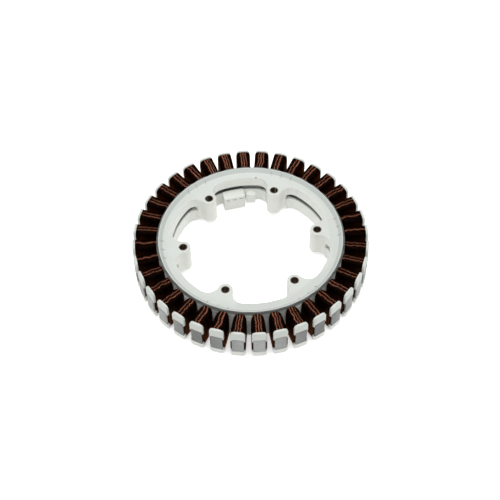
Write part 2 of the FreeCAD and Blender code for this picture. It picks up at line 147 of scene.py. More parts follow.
# %% Drift of tone
tone_drift, given, result = new_group(
    "tone_drift",
    [("Where", "Vector"), ("Colour", "Color"), ("Other", "Color"), ("Size", "Float"), ("Amount", "Float")],
    [("Colour", "Color")],
)
clouds = noise_at(tone_drift, given["Where"], given["Size"], Detail=3.0, Roughness=0.6)
share = calculate(tone_drift, "MULTIPLY", clouds, given["Amount"])
drifted = mix_colours(tone_drift, share, given["Colour"], given["Other"])
tone_drift.links.new(drifted, result["Colour"])
print("group", tone_drift.name)

# %% Uneven roughness
uneven_gloss, given, result = new_group(
    "uneven_gloss",
    [("Where", "Vector"), ("Size", "Float"), ("Smoothest", "Float"), ("Roughest", "Float")],
    [("Roughness", "Float")],
)
patches = noise_at(uneven_gloss, given["Where"], given["Size"], Detail=4.0, Roughness=0.65)
spread = map_range(uneven_gloss, patches, To_Min=given["Smoothest"], To_Max=given["Roughest"])
uneven_gloss.links.new(spread, result["Roughness"])
print("group", uneven_gloss.name)

# %% Fine grain
fine_grain, given, result = new_group(
    "fine_grain",
    [("Where", "Vector"), ("Coarse", "Float"), ("Fine", "Float")],
    [("Height", "Float")],
)
coarse = noise_at(fine_grain, given["Where"], given["Coarse"], Detail=2.0)
fine = noise_at(fine_grain, given["Where"], given["Fine"], Detail=3.0, Roughness=0.7)
fine_grain.links.new(calculate(fine_grain, "ADD", coarse, fine), result["Height"])
print("group", fine_grain.name)

# %% [markdown]
# A moulding in the light isn't one even white. The walls round the opening, the foot of each
# slot and the lower caps are painted paler, as painted light for what the white floor
# throws back onto them. The gutter behind the lip gets a grey painted shade, and the lip's
# outer face gets the darkest painted shade. Painting such tones by hand would need a texture.
# Each is a band of one radius here, so a group picks the painted tone by the distance from
# the stator's axis and by the height.

# %% Painted light and shade by place on a moulding
WALL_EDGE = 90.6 * MM
GUTTER_MIDDLE, GUTTER_HALF = 100.4 * MM, 1.9 * MM
LIP_MIDDLE, LIP_HALF = 104.4 * MM, 1.2 * MM
SLOT_MIDDLE, SLOT_HALF, SLOT_PAINTED_LIGHT_BELOW = 107.0 * MM, 2.2 * MM, 32.0 * MM
CAP_START = 129.0 * MM
BELOW_FACE, ABOVE_FACE = FACE_HEIGHT - 0.3 * MM, FACE_HEIGHT + 0.3 * MM


def reach_from_axis(tree, where):
    """The direction out from the stator's axis, not yet of length 1, and the distance from it."""
    flat = add_maths(tree, "ShaderNodeVectorMath", "MULTIPLY", where, (1, 1, 0)).outputs["Vector"]
    return flat, add_maths(tree, "ShaderNodeVectorMath", "LENGTH", flat).outputs["Value"]


painted_light_by_place, given, result = new_group(
    "painted_light_by_place",
    [("Where", "Vector"), ("Colour", "Color"), ("Wall", "Color"), ("Gutter", "Color"), ("Lip", "Color")],
    [("Colour", "Color")],
)
reach = reach_from_axis(painted_light_by_place, given["Where"])[1]
height = add_node(painted_light_by_place, "ShaderNodeSeparateXYZ", Vector=given["Where"]).outputs["Z"]


def tone_band(last, tone, operation, values, level_test, level):
    """Mixes in one painted light or shade where the radius passes a test and the height another."""
    near = calculate(painted_light_by_place, operation, reach, *values)
    at_level = calculate(painted_light_by_place, level_test, height, level)
    both = calculate(painted_light_by_place, "MULTIPLY", near, at_level)
    return mix_colours(painted_light_by_place, both, last, given[tone])


# Painted light on the walls, the slot feet and the lower caps; painted shade in the gutter and on the lip's
# outer face.
toned = tone_band(given["Colour"], "Wall", "LESS_THAN", [WALL_EDGE], "LESS_THAN", BELOW_FACE)
toned = tone_band(toned, "Gutter", "COMPARE", [GUTTER_MIDDLE, GUTTER_HALF], "GREATER_THAN", ABOVE_FACE)
toned = tone_band(toned, "Lip", "COMPARE", [LIP_MIDDLE, LIP_HALF], "GREATER_THAN", ABOVE_FACE)
toned = tone_band(toned, "Wall", "COMPARE", [SLOT_MIDDLE, SLOT_HALF], "LESS_THAN", SLOT_PAINTED_LIGHT_BELOW)
toned = tone_band(toned, "Wall", "GREATER_THAN", [CAP_START], "LESS_THAN", STEEL_BASE)
painted_light_by_place.links.new(toned, result["Colour"])
print("group", painted_light_by_place.name)


# %% Helpers that build a finish
def use_group(tree, group, where, **values):
    """The result of a shared effect, with this finish's own values."""
    node = add_node(tree, "ShaderNodeGroup", node_tree=group)
    for name, value in {"Where": where, **values}.items():
        feed(tree, value, node.inputs[name])
    return node.outputs[0]


def new_finish(name, **constants):
    """A material with its node tree and its Object coordinates."""
    finish = bpy.data.materials.new(name)
    finish.use_nodes = True
    tree = finish.node_tree
    shader = tree.nodes["Principled BSDF"]
    for socket, value in constants.items():
        shader.inputs[socket.replace("_", " ")].default_value = value
    return finish, tree, add_node(tree, "ShaderNodeTexCoord").outputs["Object"]


def connect(finish, colour, gloss, relief, strength, depth):
    """Feeds the colour, the roughness and the bumped relief to a finish's shader."""
    tree = finish.node_tree
    shader = tree.nodes["Principled BSDF"]
    bump = add_node(tree, "ShaderNodeBump", Height=relief, Strength=strength, Distance=depth)
    tree.links.new(colour, shader.inputs["Base Color"])
    tree.links.new(gloss, shader.inputs["Roughness"])
    tree.links.new(bump.outputs["Normal"], shader.inputs["Normal"])


print("finish helpers ready")

# %% [markdown]
# ## Moulded resin
# The insulators are injection-moulded from a glass-filled polyester, a greyish
# white with a satin skin. A flat colour would look like paper, so the tone
# drifts, the gloss is uneven as on a textured mould, and a fine grain, like
# that of glass fibres just under the skin, goes to the bump.


# %% Resin finishes
def moulded_resin(name, colour, wall, gutter, lip):
    """A satin resin with painted light or shade for each kind of place on a moulding."""
    finish, tree, where = new_finish(name, IOR=1.52)
    place = use_group(tree, painted_light_by_place, where, Colour=colour, Wall=wall, Gutter=gutter, Lip=lip)
    duller = mix_colours(tree, 1.0, place, (0.9, 0.91, 0.91, 1), "MULTIPLY")
    tone = use_group(tree, tone_drift, where, Colour=place, Other=duller, Size=55.0, Amount=0.8)
    gloss = use_group(tree, uneven_gloss, where, Size=240.0, Smoothest=0.38, Roughest=0.56)
    grain = use_group(tree, fine_grain, where, Coarse=900.0, Fine=3800.0)
    connect(finish, tone, gloss, grain, 0.12, 0.05 * MM)
    return finish


RESIN_WHITE = (0.70, 0.73, 0.685, 1)
# The wall colour is painted light; the gutter and lip colours are painted shade.
WALL_PAINTED_LIGHT = (0.93, 0.94, 0.89, 1)
GUTTER_PAINTED_SHADE = (0.52, 0.555, 0.525, 1)
LIP_PAINTED_SHADE = (0.13, 0.137, 0.127, 1)
CONNECTOR_WHITE = (0.88, 0.89, 0.84, 1)

insulator_resin = moulded_resin("moulded_insulator_resin", RESIN_WHITE, WALL_PAINTED_LIGHT, GUTTER_PAINTED_SHADE, LIP_PAINTED_SHADE)
connector_resin = moulded_resin("moulded_connector_resin", *[CONNECTOR_WHITE] * 4)
print("finishes", insulator_resin.name, connector_resin.name)

# %% [markdown]
# ## Electrical steel
# The core is a steel strip wound on edge, half a millimetre thick, so its sides
# show about forty fine lines. Real grooves would add thousands of faces that
# nobody sees from a step away, so the finish draws them: a sawtooth along the
# height makes a groove at each joint, and a random number for each turn makes
# the turns differ a little in tone, as punched strip does. Only the upright
# sides get the lines.

# %% Joints between the turns
STRIP_THICKNESS = 0.5 * MM

laminated_steel, tree, where = new_finish("laminated_steel", Metallic=0.85)
place = add_node(tree, "ShaderNodeSeparateXYZ", Vector=where).outputs
turns = calculate(tree, "DIVIDE", place["Z"], STRIP_THICKNESS)
within = calculate(tree, "FRACT", turns)
groove = map_range(tree, within, interpolation_type="SMOOTHSTEP", From_Max=0.22)
turn_number = calculate(tree, "FLOOR", turns)
turn_noise = add_node(tree, "ShaderNodeTexWhiteNoise", noise_dimensions="1D", W=turn_number)

normal = add_node(tree, "ShaderNodeNewGeometry").outputs["Normal"]
facing_up = add_node(tree, "ShaderNodeSeparateXYZ", Vector=normal).outputs["Z"]
lying = calculate(tree, "ABSOLUTE", facing_up)
joint = calculate(tree, "MAXIMUM", groove, lying)
joint_tone = map_range(tree, joint, To_Min=0.55)
turn_tone = map_range(tree, turn_noise.outputs["Value"], To_Min=0.86, To_Max=1.1)
strip_tone = calculate(tree, "MULTIPLY", turn_tone, joint_tone)
print("a joint every", STRIP_THICKNESS / MM, "mm")

# %% [markdown]
# The steel gets a painted sheen that rises and falls in a slow rhythm, six times round the
# ring like the mounts, and a cosine of the angle round the axis follows it. The sides of
# the tips get a painted highlight that makes them paler than their fronts, and the bore
# gets painted shade that makes it darker. All of these are factors, so they are multiplied.

# %% Painted sheen, highlight and shade round the ring
# Painted sheen round the ring, painted highlight on the tips' sides, painted shade in the bore.
PAINTED_SHEEN_MIDDLE = math.radians(265)
PAINTED_SHEEN_LOW, PAINTED_SHEEN_HIGH = 0.62, 1.3
SIDE_PAINTED_HIGHLIGHT_FACTOR, BORE_PAINTED_SHADE_FACTOR = 1.7, 0.3
BORE_PAINTED_SHADE_TO = 95 * MM

around = calculate(tree, "ARCTAN2", place["Y"], place["X"])
beats = calculate(tree, "MULTIPLY_ADD", around, HOLE_COUNT, -HOLE_COUNT * PAINTED_SHEEN_MIDDLE)
painted_sheen_wave = calculate(tree, "COSINE", beats)
painted_sheen_tone = map_range(tree, painted_sheen_wave, From_Min=-1.0, To_Min=PAINTED_SHEEN_LOW, To_Max=PAINTED_SHEEN_HIGH)
flat, reach = reach_from_axis(tree, where)
outward = add_maths(tree, "ShaderNodeVectorMath", "NORMALIZE", flat).outputs["Vector"]
facing_out = add_maths(tree, "ShaderNodeVectorMath", "DOT_PRODUCT", outward, normal).outputs["Value"]
side_painted_highlight = map_range(tree, facing_out, From_Min=0.3, From_Max=0.8, To_Min=SIDE_PAINTED_HIGHLIGHT_FACTOR, To_Max=1.0)
bore_painted_shade = map_range(tree, reach, From_Min=BORE_PAINTED_SHADE_TO, From_Max=BORE_PAINTED_SHADE_TO + MM, To_Min=BORE_PAINTED_SHADE_FACTOR)
tip_painted_light = calculate(tree, "MULTIPLY", side_painted_highlight, painted_sheen_tone)
painted_light_round_ring = calculate(tree, "MULTIPLY", tip_painted_light, bore_painted_shade)
print("shine peaks", HOLE_COUNT, "times round the ring")

# %% Put the steel together
STEEL_GREY, STEEL_SHADE = (0.30, 0.308, 0.302, 1), (0.215, 0.222, 0.216, 1)

plain_tone = use_group(tree, tone_drift, where, Colour=STEEL_GREY, Other=STEEL_SHADE, Size=70.0, Amount=0.9)
# The dark joints and turn tones, times the painted sheen, highlight and shade.
shade = calculate(tree, "MULTIPLY", strip_tone, painted_light_round_ring)
steel_tone = mix_colours(tree, 1.0, plain_tone, shade, "MULTIPLY")
steel_gloss = use_group(tree, uneven_gloss, where, Size=160.0, Smoothest=0.36, Roughest=0.58)
connect(laminated_steel, steel_tone, steel_gloss, joint, 0.5, 0.06 * MM)
print("finish", laminated_steel.name)

# %% [markdown]
# ## Enamelled copper
# Each coil is copper wire under a baked brown enamel. The metal below tints
# every highlight orange, while the enamel keeps the rest near black, and a
# painted shade makes it darkest nearest the crown. One colour for the whole coil
# would melt the turns together, so the UV map made with the winding runs across
# the turns and along the wire, and one random number per turn sets its tone.

# %% Tone of each turn
DARK_WIRE, LIGHT_WIRE = (0.024, 0.010, 0.007, 1), (0.070, 0.028, 0.018, 1)
BURNT_ENAMEL = (0.008, 0.004, 0.003, 1)
PAINTED_SHADE_DARKEST_FROM, CROWN_PAINTED_SHADE_FACTOR = COIL_CROWN - 1.5 * MM, 0.25

enamelled_copper, tree, where = new_finish(
    "enamelled_copper_wire", Metallic=1.0, Specular_Tint=(0.78, 0.52, 0.42, 1)
)
wire_uv = add_node(tree, "ShaderNodeUVMap", uv_map="wire").outputs["UV"]
turn_count = add_node(tree, "ShaderNodeSeparateXYZ", Vector=wire_uv).outputs["X"]
wire_number = calculate(tree, "FLOOR", turn_count)
wire_noise = add_node(tree, "ShaderNodeTexWhiteNoise", noise_dimensions="1D", W=wire_number)
wire_colour = mix_colours(tree, wire_noise.outputs["Value"], DARK_WIRE, LIGHT_WIRE)
enamel = use_group(tree, tone_drift, where, Colour=wire_colour, Other=BURNT_ENAMEL, Size=420.0, Amount=0.9)
height = add_node(tree, "ShaderNodeSeparateXYZ", Vector=where).outputs["Z"]
# Painted shade: the enamel is darker the higher it lies, darkest near the crown.
crown_painted_shade = map_range(tree, height, From_Min=STEEL_TOP, From_Max=PAINTED_SHADE_DARKEST_FROM, To_Min=1.0, To_Max=CROWN_PAINTED_SHADE_FACTOR)
enamel_with_painted_shade = mix_colours(tree, 1.0, enamel, crown_painted_shade, "MULTIPLY")
print("enamel from", LIGHT_WIRE[:3], "down to", BURNT_ENAMEL[:3])

# %% [markdown]
# On the crown the lamps behind would draw fine orange lines on the backs of the wires,
# and here they are painted highlights. Lamps alone draw them too faintly, so they are part of the finish.
# A second UV map, made for the crown, has a whole number on each line, and its
# other axis ends the group of lines on both sides. A noise pushes each line
# aside a little where it passes over a turn, and a finer one breaks it up.

# %% Painted highlight lines on the crown
LINE_SPACING_IN_NOISE = 7.3
TWIST = 0.4
LINE_CORE, LINE_EDGE = 0.07, 0.22
GROUP_EDGE = 0.92

crown_uv = add_node(tree, "ShaderNodeUVMap", uv_map="crown").outputs["UV"]
across = add_node(tree, "ShaderNodeSeparateXYZ", Vector=crown_uv).outputs
line_number = calculate(tree, "ROUND", across["X"])
noise_row = calculate(tree, "MULTIPLY", line_number, LINE_SPACING_IN_NOISE)
on_wire = add_node(tree, "ShaderNodeCombineXYZ", X=turn_count, Y=noise_row).outputs["Vector"]
twist = map_range(tree, noise_at(tree, on_wire, 0.9, Detail=1.0), To_Min=-TWIST, To_Max=TWIST)
twisted = calculate(tree, "ADD", across["X"], twist)
nearest = calculate(tree, "PINGPONG", twisted, 0.5)
on_line = map_range(
    tree,
    nearest,
    interpolation_type="SMOOTHSTEP",
    From_Min=LINE_CORE,
    From_Max=LINE_EDGE,
    To_Min=1.0,
    To_Max=0.0,
)
from_middle = calculate(tree, "ABSOLUTE", across["Y"])
in_group = calculate(tree, "LESS_THAN", from_middle, GROUP_EDGE)
painted_highlight_lines = calculate(tree, "MULTIPLY", on_line, in_group)
highlight_breakup = noise_at(tree, where, 520.0, Detail=2.0)
highlight_breakup_level = map_range(tree, highlight_breakup, From_Min=0.35, From_Max=0.6, To_Min=0.35)
painted_highlights = calculate(tree, "MULTIPLY", painted_highlight_lines, highlight_breakup_level)
print("lines end at", GROUP_EDGE, "of the group's half width")

# %% Put the copper together
PAINTED_HIGHLIGHT_COPPER = (0.40, 0.165, 0.10, 1)

# Painted highlights: copper-coloured lines mixed over the enamel.
wire_tone = mix_colours(tree, painted_highlights, enamel_with_painted_shade, PAINTED_HIGHLIGHT_COPPER)
wire_gloss = use_group(tree, uneven_gloss, where, Size=900.0, Smoothest=0.22, Roughest=0.42)
wire_grain = use_group(tree, fine_grain, where, Coarse=700.0, Fine=2600.0)
connect(enamelled_copper, wire_tone, wire_gloss, wire_grain, 0.15, 0.05 * MM)
print("finish", enamelled_copper.name)

# %% [markdown]
# ## Small parts
# The sleeves are rolled from steel strip and browned by heat, the pins are
# bright steel, the terminals tinned brass, and the dot is a touch of paint.
# They are too small for effects of their own, so one function makes them all
# from the same three groups.


# %% Finishes for the small parts
def small_finish(name, colour, shade, smoothest, roughest, metallic=1.0):
    """A fine-grained finish whose tone drifts from a colour to its shade."""
    finish, tree, where = new_finish(name, Metallic=metallic)
    tone = use_group(tree, tone_drift, where, Colour=colour, Other=shade, Size=300.0, Amount=0.9)
    gloss = use_group(tree, uneven_gloss, where, Size=700.0, Smoothest=smoothest, Roughest=roughest)
    grain = use_group(tree, fine_grain, where, Coarse=1500.0, Fine=5000.0)
    connect(finish, tone, gloss, grain, 0.1, 0.04 * MM)
    return finish


sleeve_steel = small_finish("browned_sleeve_steel", (0.36, 0.30, 0.24, 1), (0.18, 0.14, 0.11, 1), 0.35, 0.6)
pin_steel = small_finish("bright_pin_steel", (0.52, 0.52, 0.51, 1), (0.38, 0.38, 0.38, 1), 0.3, 0.5)
terminal_brass = small_finish("tinned_brass", (0.72, 0.66, 0.5, 1), (0.55, 0.47, 0.3, 1), 0.25, 0.45)
DOT_BROWN, DOT_SHADE = (0.26, 0.13, 0.08, 1), (0.18, 0.09, 0.06, 1)
dot_paint = small_finish("brown_paint_dot", DOT_BROWN, DOT_SHADE, 0.5, 0.7, metallic=0.0)
print("finishes", sleeve_steel.name, pin_steel.name, terminal_brass.name, dot_paint.name)

# %% [markdown]
# ## From a bmesh to a piece
# Every new piece ends the same way: its mesh goes into an object at the origin,
# edges sharper than a set angle stay crisp, the piece takes its finish and is
# attached to what it rides on, and the CAD nodes it stands for are hidden.


# %% A helper that finishes a piece
def make_piece(bm, name, finish, nodes=(), crease=35):
    """An object from a bmesh, attached to what it rides on, with the nodes it stands for hidden."""
    mesh = bpy.data.meshes.new(name)
    bm.to_mesh(mesh)
    bm.free()
    mesh.shade_smooth()
    mesh.set_sharp_from_angle(angle=math.radians(crease))
    mesh.materials.append(finish)
    piece = bpy.data.objects.new(name, mesh)
    bpy.context.scene.collection.objects.link(piece)
    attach(piece, "root")
    if nodes:
        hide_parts(*nodes)
    return piece


def axis_distance(point):
    """Distance of a point from the stator's axis."""
    return math.hypot(point.x, point.y)


print("piece helper ready")

# %% [markdown]
# ## Windings
# A coil is wire laid side by side in layers, about two dozen turns in each.
# Modelling each turn as a closed tube would waste most of its faces on the
# inside, so one sheet is wrapped round the tooth instead, and its rows follow
# the round backs of the turns: up the layers at one end, along the outer layer,
# and down again. The sheet starts as a grid, and each point is moved to its place.

# %% Sizes of the windings
WIRE = 1.02 * MM
COIL_START = 105.75 * MM
COIL_END = 129.3 * MM
START_HALF_WIDTH = 7.2 * MM
END_HALF_WIDTH = 8.5 * MM
END_LAYERS = 4
ARC_STEPS = 4
ROUND_STEPS = 48
CROWN_POWER = 3.0
SIDE_POWER = 8.0


# %% The turns met on the way over a coil
def wires_over_coil():
    """Centre along the tooth, depth under the skin and the arc of each turn that shows."""
    radius = WIRE / 2
    count = round((COIL_END - COIL_START) / WIRE)
    pitch = (COIL_END - COIL_START - WIRE) / (count - 1)
    wires = []
    for layer in range(END_LAYERS, 0, -1):
        wires.append((COIL_START + radius, radius + layer * WIRE, 270, 90))
    wires.append((COIL_START + radius, radius, 270, 0))
    for turn in range(1, count - 1):
        wires.append((COIL_START + radius + turn * pitch, radius, 180, 0))
    wires.append((COIL_END - radius, radius, 180, -90))
    for layer in range(1, END_LAYERS + 1):
        wires.append((COIL_END - radius, radius + layer * WIRE, 90, -90))
    return wires


def rows_over_coil():
    """The sheet's rows: the turn, its centre and depth, the angle on it and the turns so far."""
    rows = []
    for number, (centre, depth, first, last) in enumerate(wires_over_coil()):
        steps = round(abs(first - last) / 180 * ARC_STEPS)
        for step in range(steps):
            angle = math.radians(first + (last - first) * step / steps)
            rows.append((number, centre, depth, angle, number + step / steps))
    return rows


coil_rows = rows_over_coil()
print("turns on show", len(wires_over_coil()), "rows", len(coil_rows))


# %% The rounded section of a coil
def on_section(share, half_width):
    """Point and outward direction on a coil's section, share of the way round from its foot."""
    turn = math.tau * share - math.pi / 2
    across, up = math.cos(turn), math.sin(turn)
    half_height = (COIL_CROWN - COIL_FOOT) / 2
    y = math.copysign(abs(across) ** (2 / CROWN_POWER), across)
    z = math.copysign(abs(up) ** (2 / SIDE_POWER), up)
    slope_y = math.copysign(abs(y) ** (CROWN_POWER - 1), y) * CROWN_POWER / half_width
    slope_z = math.copysign(abs(z) ** (SIDE_POWER - 1), z) * SIDE_POWER / half_height
    middle = (COIL_CROWN + COIL_FOOT) / 2
    point = Vector((0, y * half_width, middle + z * half_height))
    return point, Vector((0, slope_y, slope_z)).normalized()


print("top of the section", on_section(0.5, END_HALF_WIDTH)[0])

# %% [markdown]
# ## Hand of the winding machine
# No two coils are alike. Each turn strays a little along the tooth and lies a
# little high or low, and both change slowly round the tooth, so the light
# breaks up on the wires as it does on a real coil. The noise is read on a
# circle, so that a turn ends where it began. The painted highlight lines on the
# crown wander too: three of them on the coils at the front and back of the ring,
# two on most others, and one broad band on the coils at its sides. Each coil's
# turns are numbered from a hundred further on, so that no two coils have the
# same run of tones.

# %% Wind one coil
STRAY = 0.34 * MM
LIFT = 0.16 * MM
SHOULDER = 1.5 * MM
NUMBERS_PER_COIL = 100
THREE_LINES, TWO_LINES, ONE_BAND = (3, 2.8 * MM), (2, 3.8 * MM), (1, 5.6 * MM)
FRONT_AND_BACK, SIDES = 0.93, 0.25
SWAY = 0.4


def lines_on(number):
    """Number of painted highlight lines on a coil's crown and the space between them."""
    depth = abs(math.sin((number - 0.5) * TOOTH_PITCH))
    if depth > FRONT_AND_BACK:
        return THREE_LINES
    return TWO_LINES if depth > SIDES else ONE_BAND


def on_crown(across, number, count):
    """Place across the painted highlight lines: whole numbers on the lines, and 1 at the group's edge."""
    lines, space = lines_on(number)
    sway = SWAY * noise.noise(Vector((count * 0.16, number * 3.7, 0)))
    steps = across / space + sway
    return steps + (0.5 if lines % 2 == 0 else 0.0), 2 * steps / lines


def wind_coil(number):
    """A bmesh of one winding, turned to its tooth, with both of its UV maps."""
    bm = bmesh.new()
    wire_map = bm.loops.layers.uv.new("wire")
    crown_map = bm.loops.layers.uv.new("crown")
    size = len(coil_rows) - 1
    bmesh.ops.create_grid(bm, x_segments=size, y_segments=ROUND_STEPS, size=0.5, calc_uvs=False)
    places, crowns = {}, {}
    for vert in bm.verts:
        row = round((vert.co.x + 0.5) * size)
        share = vert.co.y + 0.5
        turn, centre, depth, angle, count = coil_rows[row]
        places[vert] = (count + number * NUMBERS_PER_COIL, share)
        round_tooth = Vector((math.cos(math.tau * share), math.sin(math.tau * share), 0))
        stray = noise.noise(round_tooth * 1.1 + Vector((number * 7.3, turn * 0.17, 3.0)))
        lift = noise.noise(round_tooth * 1.6 + Vector((number * 5.1, turn * 0.83, 9.0)))
        on_side = (centre - COIL_START) / (COIL_END - COIL_START)
        ends = min(1.0, 4 * on_side, 4 * (1 - on_side))
        half_width = START_HALF_WIDTH + (END_HALF_WIDTH - START_HALF_WIDTH) * on_side
        half_width -= SHOULDER * max(0, 1 - 5 * on_side) ** 2
        point, outward = on_section(share, half_width)
        rise = WIRE / 2 * math.sin(angle) - depth - abs(lift) * LIFT
        reach = centre + WIRE / 2 * math.cos(angle) + stray * STRAY * ends
        vert.co = point + outward * rise + Vector((reach, 0, 0))
        crowns[vert] = on_crown(vert.co.y, number, count)
    for face in bm.faces:
        for loop in face.loops:
            loop[wire_map].uv = places[loop.vert]
            loop[crown_map].uv = crowns[loop.vert]
    bmesh.ops.remove_doubles(bm, verts=bm.verts, dist=0.002 * MM)
    bmesh.ops.recalc_face_normals(bm, faces=bm.faces)
    turned = Matrix.Rotation((number - 0.5) * TOOTH_PITCH, 4, "Z")
    bmesh.ops.transform(bm, matrix=turned, verts=bm.verts)
    return bm


for number, node in enumerate(coil_names, start=1):
    piece = make_piece(
        wind_coil(number), f"winding_{number:02d}", enamelled_copper, [node], crease=70
    )
print("faces on one winding", len(piece.data.polygons))

# %% [markdown]
# ## Crossover wires
# The coils of a phase are joined by a wire that runs round the channel in the
# underside of the lower insulator. There are three phases, so three rings, and
# each coil has a lead that crosses under them and ends at its own ring. They
# are out of sight from above, so eight sides to a wire are enough: a ring is a
# circle spun round the axis, and a lead a short cylinder.

# %% Rings and leads in the channel
RING_RADII = (94.8 * MM, 98.0 * MM, 101.2 * MM)
CHANNEL_WALL = 104.2 * MM
RING_HEIGHT = STEEL_BASE - 2.3 * MM
LEAD_HEIGHT = RING_HEIGHT - WIRE
WIRE_SIDES, RING_STEPS = 8, 144
OFF_THE_LINES = (0.5, 2)

bm = bmesh.new()
wire_map = bm.loops.layers.uv.new("wire")
crown_map = bm.loops.layers.uv.new("crown")
for reach in RING_RADII:
    section = bmesh.ops.create_circle(bm, segments=WIRE_SIDES, radius=WIRE / 2)["verts"]
    upright = Matrix.Translation((reach, 0, RING_HEIGHT)) @ Matrix.Rotation(math.pi / 2, 4, "X")
    bmesh.ops.transform(bm, matrix=upright, verts=section)
    outline = list(dict.fromkeys(edge for vert in section for edge in vert.link_edges))
    bmesh.ops.spin(
        bm,
        geom=section + outline,
        axis=(0, 0, 1),
        cent=(0, 0, 0),
        angle=math.tau,
        steps=RING_STEPS,
        use_merge=True,
    )
for number in range(1, len(coil_names) + 1):
    near = RING_RADII[number % len(RING_RADII)]
    lead = bmesh.ops.create_cone(
        bm, cap_ends=True, segments=WIRE_SIDES, radius1=WIRE / 2, radius2=WIRE / 2, depth=CHANNEL_WALL - near
    )["verts"]
    laid = Matrix.Rotation(math.pi / 2, 4, "Y")
    moved = Matrix.Translation(((CHANNEL_WALL + near) / 2, 0, LEAD_HEIGHT))
    turned = Matrix.Rotation((number - 0.5) * TOOTH_PITCH, 4, "Z")
    bmesh.ops.transform(bm, matrix=turned @ (moved @ laid), verts=lead)
bmesh.ops.recalc_face_normals(bm, faces=bm.faces)
for face in bm.faces:
    for loop in face.loops:
        loop[wire_map].uv = (round(axis_distance(loop.vert.co) / WIRE), 0)
        loop[crown_map].uv = OFF_THE_LINES
crossovers = make_piece(bm, "crossover_wires", enamelled_copper)
print("crossover faces", len(crossovers.data.polygons))

# %% [markdown]
# ## Rounded mouldings
# A moulding has no knife edges: the mould's own corners are rounded so that
# the resin flows and lets go. One bevel modifier would need a weight on every
# edge for two widths, so a copy of each CAD moulding is merged, its flat faces
# are joined, and chosen edges are bevelled. The end caps are rounded more,
# because the wire is pulled over them.


# %% A copy of a CAD node with rounded edges
CAP_FRONT = 131.9 * MM
CAP_ROUNDING, EDGE_ROUNDING, SMALL_PART_ROUNDING = 0.7 * MM, 0.25 * MM, 0.3 * MM


def merged_copy(node):
    """A bmesh of a CAD node, its triangles joined to whole faces again."""
    bm = bmesh.new()
    bm.from_mesh(frame["nodes"][node].data)
    bmesh.ops.remove_doubles(bm, verts=bm.verts, dist=0.002 * MM)
    bmesh.ops.dissolve_limit(
        bm, angle_limit=math.radians(1), verts=bm.verts, edges=bm.edges, delimit={"NORMAL"}
    )
    return bm


def round_edges(bm, wanted, width, segments, angle=30):
    """Bevels the wanted edges that are sharper than an angle, and counts them."""
    edges = [
        edge
        for edge in bm.edges
        if edge.is_manifold and edge.calc_face_angle(0) > math.radians(angle) and wanted(edge)
    ]
    bmesh.ops.bevel(
        bm,
        geom=edges,
        offset=width,
        offset_type="OFFSET",
        segments=segments,
        profile=0.5,
        affect="EDGES",
        clamp_overlap=True,
        material=-1,
    )
    return len(edges)


def on_cap_front(edge):
    """Whether an edge lies on the outer face of an end cap."""
    return all(axis_distance(vert.co) > CAP_FRONT for vert in edge.verts)


def anywhere(edge):
    """Every edge is wanted."""
    return True


for node in ("upper_insulator", "lower_insulator"):
    bm = merged_copy(node)
    fronts = round_edges(bm, on_cap_front, CAP_ROUNDING, 2, angle=40)
    rest = round_edges(bm, anywhere, EDGE_ROUNDING, 1, angle=50)
    print(node, "edges rounded", fronts, rest, "faces", len(bm.faces))
    make_piece(bm, f"{node}_moulding", insulator_resin, [node])

bm = merged_copy("phase_connector")
round_edges(bm, anywhere, SMALL_PART_ROUNDING, 2)
make_piece(bm, "phase_connector_moulding", connector_resin, ["phase_connector"])
print("three mouldings rounded")

# %% [markdown]
# ## Gussets and the paint dot
# Small gussets stiffen the lip near each mounting hole: thin ribs that rise
# from the face to the top of the lip, one in line with the hole and one on
# either side. Each is a triangle pushed out to its width, then rounded. The
# paint dot is of the kind that marks a tested part. It is a disc a few
# hundredths of a millimetre high, and not a spot in the finish, so it can be
# moved or left out by itself.

# %% Gussets on the lip
GUSSET_WIDTH = 1.2 * MM
GUSSET_SPREAD = math.radians(7)
GUSSET_FOOT, GUSSET_HEAD = 96.0 * MM, 101.9 * MM
GUSSET_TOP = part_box("upper_insulator")[1][2] - 0.1 * MM
GUSSET_BASE = FACE_HEIGHT - 0.2 * MM
GUSSET_CORNERS = ((GUSSET_FOOT, GUSSET_BASE), (GUSSET_HEAD, GUSSET_BASE), (GUSSET_HEAD, GUSSET_TOP))

bm = bmesh.new()
for hole in range(HOLE_COUNT):
    for side in (-1, 0, 1):
        turned = Matrix.Rotation(math.tau * hole / HOLE_COUNT + side * GUSSET_SPREAD, 4, "Z")
        rib = bmesh.ops.create_circle(bm, cap_ends=True, segments=3, radius=MM)["verts"]
        for vert, (reach, height) in zip(rib, GUSSET_CORNERS):
            vert.co = (reach, -GUSSET_WIDTH / 2, height)
        grown = bmesh.ops.extrude_face_region(bm, geom=rib[0].link_faces[:])["geom"]
        grown_verts = [item for item in grown if isinstance(item, bmesh.types.BMVert)]
        bmesh.ops.translate(bm, vec=(0, GUSSET_WIDTH, 0), verts=grown_verts)
        bmesh.ops.transform(bm, matrix=turned, verts=rib + grown_verts)
bmesh.ops.recalc_face_normals(bm, faces=bm.faces)
round_edges(bm, anywhere, SMALL_PART_ROUNDING, 2)
gussets = make_piece(bm, "lip_gussets", insulator_resin)
print("gusset faces", len(gussets.data.polygons))

# %% The paint dot
DOT_ANGLE, DOT_PLACE, DOT_RADIUS = math.radians(77), 90.9 * MM, 1.0 * MM
DOT_THICKNESS, DOT_LIFT = 0.06 * MM, 0.02 * MM

